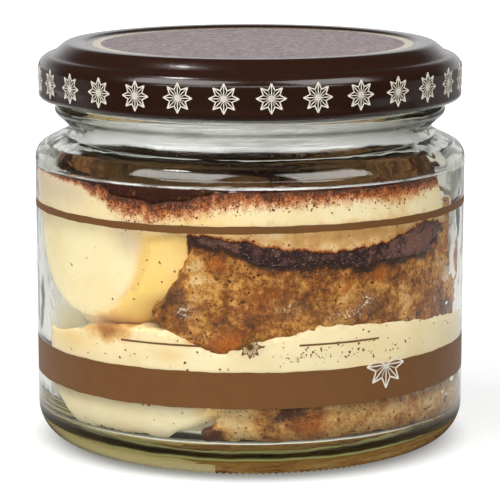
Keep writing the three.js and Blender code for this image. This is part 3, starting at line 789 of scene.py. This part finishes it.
# The ring of cocoa seen through the shoulder glass is painted olive: painted light for the thick glass there.
ring = np.clip((from_glass - 1.5) / 1.5, 0, 1) * np.clip((11 - from_glass) / 2, 0, 1)
paint(made, "bare", np.clip(from_glass, 0, 1) * 0.42 * patches)
paint(made, "painted_olive", 0.7 * ring * (1 - np.clip(patches, 0, 1)))

# ---- The mist in the neck
# A thin film of moisture on the inner glass of the neck, above the cocoa. It is drawn out in
# level streaks, fades towards the shoulder and stands in drops where the dessert meets the glass,
# drawn as a thin bright band that is also a painted highlight.

MIST_CLEAR = 0.05
MIST_FOOT = 47.9
MIST_HEIGHTS = (48.2, 59)
SLEEVE_SEGMENTS = 180


def sleeve(outline):
    """Points and faces of a sleeve with no thickness, just inside the glass."""
    points, here, after = around(outline, SLEEVE_SEGMENTS)
    return points, np.stack([here, here + 1, after + 1, after], -1).reshape(-1, 4).tolist()


mist = Finish("mist", Base_Color=linear(238, 238, 250), Roughness=0.5)
spot = mist.spot()
across, _, height = mist.add("SeparateXYZ", in_0=spot)
aside = mist.calc("ABSOLUTE", across)
streaks = mist.noise(mist.stretched(spot, 0.25, 0.25, 1.6), 0.8, 5, 0.62)
edge = mist.calc("ADD", mist.weighed(streaks, 3, height), mist.ranged(aside, 20, 33, 3.2))
dense = mist.calc("ADD", mist.ranged(aside, 8, 30, 0.5), mist.ranged(streaks, 0.3, 0.7, 0.6, 1.1))
thick = mist.calc("MULTIPLY", mist.ranged(height, 56.4, 57.6, 0.45, 1), dense)
film = mist.calc("MULTIPLY", mist.ranged(edge, 53.6, 54.8, kind="SMOOTHSTEP"), thick)
# A thin bright band of drops at the dessert's edge, partly a painted highlight.
drops_and_highlight = mist.ranged(height, 48.12, 48.36, 0, 0.8)
drops_and_highlight = mist.calc("MULTIPLY", drops_and_highlight, mist.ranged(streaks, 0.35, 0.6, 0.3, 1))
mist.set(Alpha=mist.calc("MAXIMUM", film, drops_and_highlight))
outline = jar_outline()
rim = max(range(len(outline)), key=lambda k: outline[k][1])
wall = [(r - MIST_CLEAR, z) for r, z in outline[rim:] if MIST_HEIGHTS[0] < z < MIST_HEIGHTS[1]]
piece("neck_mist", *sleeve(wall + [(BORE - MIST_CLEAR, MIST_FOOT)]), mist, "clear_glass")

# ---- The film on the glass
# Whey and moisture on the inner glass at the left and right, where the filling stands back from
# it. It is grey and thin above and yellower towards the cream below.

whey = Finish("whey_film", Roughness=0.5)
spot = whey.spot()
height = whey.add("SeparateXYZ", in_0=spot)[2]
uneven = whey.weighed(whey.noise(spot, 0.5, 5, 0.65), 0.5, whey.painted("dense"))
tone = whey.mix(whey.ranged(height, 27, 22), linear(200, 194, 188), linear(196, 178, 122))
whey.set(Alpha=whey.ranged(uneven, 0.35, 1.15, 0.8), Base_Color=tone)
points, faces = sleeve([(BORE - MIST_CLEAR, z) for z in np.linspace(18.5, 47, 60)])
made = piece("glass_film", points, faces, whey, "clear_glass")
paint(made, "dense", spots(points, (1.05, -70, 23.5, 20, 4), (0.6, -62, 28, 14, 3.5), (0.7, -86, 31, 11, 8),
                           (0.4, 86, 32, 13, 9)))

# ---- The print on the glass
# Brown enamel screened on the outside of the jar and fired: a thin line, a wide band with half a
# star hanging from its upper edge, and two short rules with a small star between them.

LINE_HEIGHT = 41.69
LINE_WIDTH = 1.2
BAND_FOOT = 12.38
BAND_TOP = 18.42
PRINT_TILT = 0.0055  # the print is a little higher at the right
ENAMEL = 0.02
ENAMEL_ROOT = 0.06
STAR_ROOT = 0.04
RULE_HEIGHT = 22.7
RULE_WIDTH = 0.32
RULE_ENDS = ((-34.8, -12.5), (12.5, 34.8))
INK = 0.03
STAR_POINTS = 8
STAR_WAIST = 0.58
STAR_TURNS = range(0, 360, 360 // STAR_POINTS)
HALF_STAR_TURNS = range(-180, 1, 360 // STAR_POINTS)
HALF_STAR_BEARING = 37.2
HALF_STAR = (3.9, 0.26)  # its size and the width of its lines
SMALL_STAR = (1.9, 0.2)
STROKE_STEPS = 3


def glass_radius(z):
    return BODY_RADIUS - BODY_DRAFT * (1 - (z - HEEL_HEIGHT) / (BODY_TOP - HEEL_HEIGHT))


def enamel_band(low, high, seed, start=0.0, end=360.0):
    """Points and faces of a band of enamel round the glass, or of a stretch of one."""
    whole = end - start >= 360
    count = 720 if whole else max(int(end - start), 8)
    angle = np.radians(start + (end - start) * np.arange(count + (not whole)) / count)
    ragged = 1 if whole else 0.2
    corners = []
    for side, out in ((0, -ENAMEL_ROOT), (0, ENAMEL), (1, ENAMEL), (1, -ENAMEL_ROOT)):
        waver = (0.05 * np.sin(5 * angle + seed + side) + 0.04 * np.sin(23 * angle + 2 * side)
                 + 0.02 * np.sin(61 * angle + seed))
        z = (low, high)[side] + ragged * waver + PRINT_TILT * BODY_RADIUS * np.sin(angle)
        corners.append(on_wall(glass_radius(z) + out, angle, z))
    faces = []
    for step in range(count):
        here, there = 4 * step, 4 * ((step + 1) % len(angle))
        faces += [(here + k, there + k, there + (k + 1) % 4, here + (k + 1) % 4) for k in range(4)]
    if not whole:
        faces += [(0, 1, 2, 3), tuple(4 * count + k for k in (3, 2, 1, 0))]
    return np.stack(corners, 1).reshape(-1, 3), faces


def joined(parts):
    """Several meshes as one."""
    points, faces, start = [], [], 0
    for more_points, more_faces in parts:
        points.append(more_points)
        faces += [tuple(int(corner) + start for corner in face) for face in more_faces]
        start += len(more_points)
    return np.vstack(points), faces


def stroke(tail, head, width):
    """A drawn line as a flat strip in the plane: the points of its one side, then of its other."""
    tail, head = np.array(tail), np.array(head)
    along = (head - tail) / np.linalg.norm(head - tail)
    side = np.array([-along[1], along[0]]) * width / 2
    middle = [tail + (head - tail) * k / STROKE_STEPS for k in range(STROKE_STEPS + 1)]
    return np.array([spot + side for spot in middle] + [spot - side for spot in middle])


def star_strokes(size, width, directions):
    """The lines of a star of outlined kites with midribs."""

    def at(reach, turn):
        return reach * math.cos(turn), reach * math.sin(turn)

    strips = []
    for turn in map(math.radians, directions):
        tip = at(size, turn)
        strips.append(stroke((0, 0), tip, width * 0.8))
        for half in (-math.pi / STAR_POINTS, math.pi / STAR_POINTS):
            waist = at(size * STAR_WAIST, turn + half)
            strips.append(stroke((0, 0), waist, width * 0.8))
            strips.append(stroke(waist, tip, width))
    return strips


def wrapped(strips, degrees, height, radius_at, rise, dot=None):
    """Flat strokes laid on a round wall, as thin closed slabs sunk a little into it. dot is one
    more flat shape, with a single face."""
    half = STROKE_STEPS + 1
    ring = [*range(half), *range(2 * half - 1, half - 1, -1)]
    tops = [(k, k + half, k + half + 1, k + 1) for k in range(half - 1)]
    drawn = [(strip, ring, tops) for strip in strips]
    if dot is not None:
        drawn.append((dot, [*range(len(dot))], [tuple(range(len(dot)))]))
    slabs = []
    for flat, edge, upper in drawn:
        angle = math.radians(degrees) + flat[:, 0] / radius_at(height)
        z = height + flat[:, 1]
        count = len(flat)
        faces = upper + [tuple(k + count for k in face[::-1]) for face in upper]
        faces += [(a, b, b + count, a + count) for a, b in zip(edge, edge[1:] + edge[:1])]
        skins = [on_wall(radius_at(z) + out, angle, z) for out in (rise, -STAR_ROOT)]
        slabs.append((np.vstack(skins), faces))
    return joined(slabs)


enamel = Finish("brown_enamel", Roughness=0.5, Specular_IOR_Level=0.3)
spot = enamel.spot()
enamel.set(Base_Color=enamel.mix(enamel.noise(spot, 0.35, 4), linear(112, 74, 36), linear(126, 84, 46)),
           Normal=enamel.bump(enamel.noise(spot, 2.5), 0.15, 0.0002))
cream_ink = Finish("cream_ink", Roughness=0.38)
worn = cream_ink.noise(cream_ink.spot(), 1.8, 4)
cream_ink.set(Base_Color=cream_ink.mix(worn, linear(236, 224, 200), linear(250, 246, 236)))

line = enamel_band(LINE_HEIGHT - LINE_WIDTH / 2, LINE_HEIGHT + LINE_WIDTH / 2, 0.3)
piece("enamel_line", *line, enamel, "lid_lacquer", flat=True)
piece("enamel_band", *enamel_band(BAND_FOOT, BAND_TOP, 1.9), enamel, "lid_lacquer", flat=True)
rules = [enamel_band(RULE_HEIGHT - RULE_WIDTH / 2, RULE_HEIGHT + RULE_WIDTH / 2, 0.5, *ends)
         for ends in RULE_ENDS]
rules.append(wrapped(star_strokes(*SMALL_STAR, STAR_TURNS), 0, RULE_HEIGHT, glass_radius, ENAMEL))
piece("enamel_rules", *joined(rules), enamel, "lid_lacquer", flat=True)
half_star = star_strokes(*HALF_STAR, HALF_STAR_TURNS)
half_star = wrapped(half_star, HALF_STAR_BEARING, BAND_TOP - 0.25, glass_radius, ENAMEL + INK)
piece("band_star", *half_star, cream_ink, "cream", flat=True)

# ---- The lid
# One disc of tinplate, pressed and lacquered dark brown: a sunk panel, a raised ring over the
# jar's rim and a skirt rolled in at its foot. It is screwed down on the glass thread.

LID_RADIUS = 36.3
LID_TOP = 68.55
LID_FOOT = 59.1
LID_SHEET = 0.5
LID_PANEL_RADIUS = 28
LID_PANEL_DROP = 0.4
LID_RING_RADIUS = 31.4
LID_SHOULDER_RADIUS = 2.2
LID_SHOULDER_TOP = 66.5
LID_SEGMENTS = 256
HEM_RADIUS = 0.88
LUG_BEARINGS = (-57, 38, 127, 217)
LUG_DEPTH = 0.45
FIELD_RADIUS = 26
GOLD_RADIUS = 26.75
PANEL_PRINT_SHIFT = 0.45  # the print on the panel lies a little to the right


def lid_outlines():
    """The inner side of the sheet, from the axis to the hem, and the outer side back to the axis."""
    panel = LID_TOP - LID_PANEL_DROP
    shoulder_x, shoulder_z = LID_RADIUS - LID_SHOULDER_RADIUS, LID_SHOULDER_TOP - LID_SHOULDER_RADIUS
    hem_x, hem_z = LID_RADIUS - HEM_RADIUS, LID_FOOT + HEM_RADIUS
    inner = [
        (0, panel - LID_SHEET), (LID_PANEL_RADIUS + LID_SHEET, panel - LID_SHEET),
        (LID_PANEL_RADIUS + 1, LID_TOP - LID_SHEET), (LID_RING_RADIUS - LID_SHEET, LID_TOP - LID_SHEET),
        (LID_RING_RADIUS + 1.9, LID_SHOULDER_TOP - 0.2),
        *arc(shoulder_x, shoulder_z, LID_SHOULDER_RADIUS - LID_SHEET, 90, 0, 8),
        (LID_RADIUS - LID_SHEET, hem_z + HEM_RADIUS + 0.4),
    ]
    outer = [
        *arc(hem_x, hem_z, HEM_RADIUS, 120, 360, 18),
        (LID_RADIUS - 0.02, hem_z + 0.5), (LID_RADIUS - 0.08, hem_z + 1.0), (LID_RADIUS - 0.06, hem_z + 1.6),
        *[(LID_RADIUS, z) for z in np.linspace(hem_z + 2.2, shoulder_z - 0.2, 6)],
        *arc(shoulder_x, shoulder_z, LID_SHOULDER_RADIUS, 0, 86, 14),
        # the slope up to the raised ring
        (33.95, 66.62), (33.7, 66.76), (33.4, 66.98), (33.0, 67.38), (32.65, 67.7), (32.3, 67.98),
        (32.0, 68.2), (31.7, 68.37), (31.35, 68.49), (31.0, 68.54),
        (30.2, LID_TOP), (29.4, LID_TOP - 0.01), (28.9, LID_TOP - 0.06), (28.5, LID_TOP - 0.18),
        (28.2, panel + 0.08), (27.9, panel + 0.01), (27.4, panel), (20, panel), (10, panel), (0, panel),
    ]
    return inner, outer


lacquer = Finish("lid_lacquer", Coat_Roughness=0.08)
spot = lacquer.spot()
x, y, height = lacquer.add("SeparateXYZ", in_0=spot)
printed = lacquer.add("CombineXYZ", in_0=lacquer.calc("SUBTRACT", x, PANEL_PRINT_SHIFT), in_1=y)[0]
from_axis = lacquer.add("VectorMath", operation="LENGTH", in_0=printed)["Value"]
upper = lacquer.calc("GREATER_THAN", height, LID_SHOULDER_TOP + 0.5)
peel = lacquer.noise(spot, 0.9)
speckle = lacquer.ranged(lacquer.noise(spot, 1.3, 5, 0.7), 0.38, 0.66)
field = lacquer.ranged(from_axis, FIELD_RADIUS + 0.05, FIELD_RADIUS - 0.05)
field = lacquer.calc("MULTIPLY", field, upper)
off_ring = lacquer.calc("ABSOLUTE", lacquer.calc("SUBTRACT", from_axis, GOLD_RADIUS))
ring = lacquer.calc("MULTIPLY", lacquer.ranged(off_ring, 0.75, 0.68), upper)
brown = lacquer.mix(peel, linear(36, 16, 7), linear(48, 23, 11))
# The panel's mauve is its print, made paler as painted reflection of the bright sweep behind.
mauve = lacquer.mix(speckle, linear(98, 76, 78), linear(182, 164, 166))
colour = lacquer.mix(ring, lacquer.mix(field, brown, mauve), linear(208, 186, 132))
colour = lacquer.mix(lacquer.painted("inside"), colour, linear(236, 232, 222))
lacquer.set(Base_Color=colour, Roughness=lacquer.weighed(field, 0.24, 0.2),
            Coat_Weight=lacquer.weighed(field, -0.3, 0.4), Metallic=lacquer.calc("MULTIPLY", ring, 0.35),
            Normal=lacquer.bump(peel, 0.06, 0.0004))

inner, outer = lid_outlines()
points, faces = turned(inner + outer, LID_SEGMENTS)
# The skirt is pressed in over each of the four lugs that grip the glass thread.
bearing, _ = bearings(points[:, 0], points[:, 1])
pressed = sum(np.exp(-((((bearing - lug + 180) % 360 - 180) / 10) ** 4)) for lug in LUG_BEARINGS)
pressed = pressed * np.clip((61.9 - points[:, 2]) / 1.6, 0, 1) * (points[:, 2] > LID_FOOT - 0.1)
points[:, :2] *= (1 - LUG_DEPTH * pressed / LID_RADIUS)[:, None]
made = piece("lid_shell", points, faces, lacquer, "lid_lacquer", "lid")
is_inner = np.tile(np.arange(1, len(inner + outer) - 1) < len(inner), LID_SEGMENTS)
paint(made, "inside", np.append(is_inner, [True, False]))

# ---- The stars on the lid
# A row of thirty eight-point stars printed in cream ink round the skirt. Each is drawn in thin
# lines round a small dot, and the row has the same slight tilt as the print on the glass.

STAR_COUNT = 30
STAR_HEIGHT = 62.78
SKIRT_STAR = (2.45, 0.18)
DOT_SIZE = 0.5
DOT_SIDES = 20
FIRST_STAR = 5.4
turn = np.arange(DOT_SIDES) * 2 * math.pi / DOT_SIDES
dot = np.stack([DOT_SIZE * np.cos(turn), DOT_SIZE * np.sin(turn)], -1)
star = star_strokes(*SKIRT_STAR, STAR_TURNS)
stars = []
for degrees in FIRST_STAR + np.arange(STAR_COUNT) * 360 / STAR_COUNT:
    height = STAR_HEIGHT + PRINT_TILT * LID_RADIUS * math.sin(math.radians(degrees))
    stars.append(wrapped(star, degrees, height, lambda z: LID_RADIUS + 0 * z, INK, dot))
piece("lid_stars", *joined(stars), cream_ink, "cream", flat=True)

# ---- The studio
# In metres: a white floor and a bright sweep behind it, in a dark room. Two big softboxes stand in
# front at the sides, a small one hangs overhead, and a long strip and a low fill stand further in
# front. The glass doesn't mirror the low fill.

floor_mesh = bpy.data.meshes.new("floor")
floor_mesh.from_pydata([(-4, -0.4, 0), (4, -0.4, 0), (4, 6, 0), (-4, 6, 0)], [], [(0, 1, 2, 3)])
floor = bpy.data.objects.new("floor", floor_mesh)
bpy.context.collection.objects.link(floor)
paper = Finish("white_paper", Roughness=1, Emission_Color=(1, 1, 1, 1))
seen = paper.add("LightPath")["Is Camera Ray"]
place = paper.add("TexCoord")["Object"]
across, along, _ = paper.add("SeparateXYZ", in_0=place)
aside = paper.calc("ABSOLUTE", across)
from_axis = paper.add("VectorMath", operation="LENGTH", in_0=place)["Value"]


def sloped(value, start, end, low, high):
    return paper.ranged(value, start, end, high, low, "SMOOTHSTEP")


# To the camera it is white, with a shadow where the jar stands. To the glass it is bright under
# the jar and behind it, and dark in front.
behind = paper.calc("MULTIPLY", sloped(along, -0.12, 0.04, 0.04, 0.8), sloped(from_axis, 0.036, 0.055, 0, 1))
behind = paper.calc("MULTIPLY", behind, sloped(aside, 0.10, 0.24, 1, 0.3))
lit = paper.calc("MAXIMUM", behind, sloped(from_axis, 0.0318, 0.0255, 0, 1))
shadow = sloped(from_axis, 0.0300, 0.0395, 0.22, 1)
shown = paper.calc("MULTIPLY", sloped(along, 0, 0.3, 0.65, 1.2), shadow)
white = paper.calc("MULTIPLY", paper.calc("MULTIPLY", seen, shadow), 0.5)
paper.set(Emission_Strength=paper.add("Mix", in_0=seen, in_2=lit, in_3=shown)[0], Base_Color=white)
floor_mesh.materials.append(paper.material)


def softbox(name, place, aim, width, height, power):
    data = bpy.data.lights.new(name, "AREA")
    data.shape, data.size, data.size_y, data.energy = "RECTANGLE", width, height, power
    made = bpy.data.objects.new(name, data)
    bpy.context.collection.objects.link(made)
    made.location = place
    made.rotation_euler = (Vector(aim) - Vector(place)).to_track_quat("-Z", "Y").to_euler()
    return made


softbox("left_box", (-0.47, -0.47, 0.65), (0, 0, 0.04), 0.75, 0.60, 5.8)
softbox("right_box", (0.50, -0.43, 0.65), (0, 0, 0.04), 0.65, 0.60, 4.6)
softbox("top_box", (-0.45, -0.05, 1.15), (0, 0, 0.06), 0.22, 0.16, 2.2)
softbox("front_strip", (0, -1.35, 0.42), (0, 0, 0.04), 3.4, 0.11, 6.5)
softbox("low_fill", (-0.35, -1.0, 0.05), (-0.01, 0, 0.012), 0.5, 0.1, 2.1).visible_glossy = False

world = bpy.data.worlds.new("studio")
bpy.context.scene.world = world
world.use_nodes = True
studio = Nodes(world.node_tree)
_, ahead, up = studio.add("SeparateXYZ", in_0=studio.add("TexCoord")["Generated"])
sweep = studio.calc("MULTIPLY", studio.ranged(ahead, 0.55, 0.88), studio.ranged(up, 0.45, 0.15))
background = world.node_tree.nodes["Background"].inputs
studio.put(studio.weighed(sweep, 0.72, 0.05), background["Strength"])
studio.put((1, 1, 1, 1), background["Color"])

camera_data = bpy.data.cameras.new("camera")
camera_data.lens = 194.03
camera_data.sensor_width = 36
camera_data.clip_start = 0.02
camera = bpy.data.objects.new("camera", camera_data)
bpy.context.collection.objects.link(camera)
camera.location = (0, -0.4613, 0.1137)
camera.rotation_euler = (math.radians(79.962), 0, 0)
bpy.context.scene.camera = camera
bpy.context.scene.view_settings.view_transform = "Standard"
